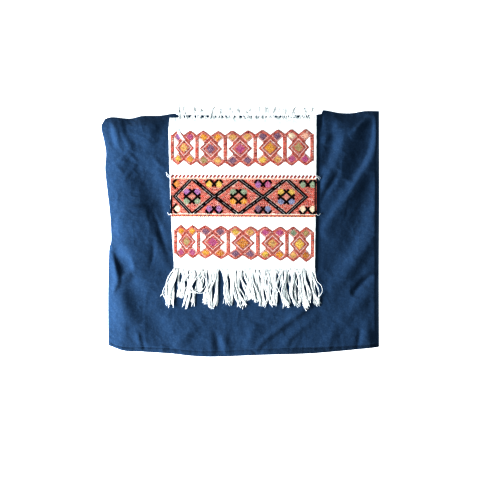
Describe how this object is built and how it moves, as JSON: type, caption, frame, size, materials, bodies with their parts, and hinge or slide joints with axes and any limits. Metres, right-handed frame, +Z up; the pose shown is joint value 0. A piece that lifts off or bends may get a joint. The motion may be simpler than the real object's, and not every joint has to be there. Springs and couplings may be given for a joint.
{
  "type": "pillowcase",
  "caption": "Empty navy cotton pillowcase lying face up, with a fringed white woven panel of coloured brocade bands sewn on its front.",
  "frame": {"origin": "on the surface that the case lies on, under the middle of the case, on its flat back", "axes": "+X to the case's right, +Y to its sewn top seam, +Z up, out of its decorated front"},
  "size_m": [0.4576, 0.4283, 0.0176],
  "materials": {
    "navy_front": "plain woven cotton, soft folds and creases",
    "navy_back": "plain woven cotton, flat",
    "white_panel": "hand-woven white cotton with coral, black and many-coloured brocade bands"
  },
  "bodies": {
    "root": {"case_front": "navy_front", "case_back": "navy_back", "woven_panel": "white_panel"}
  },
  "joints": []
}
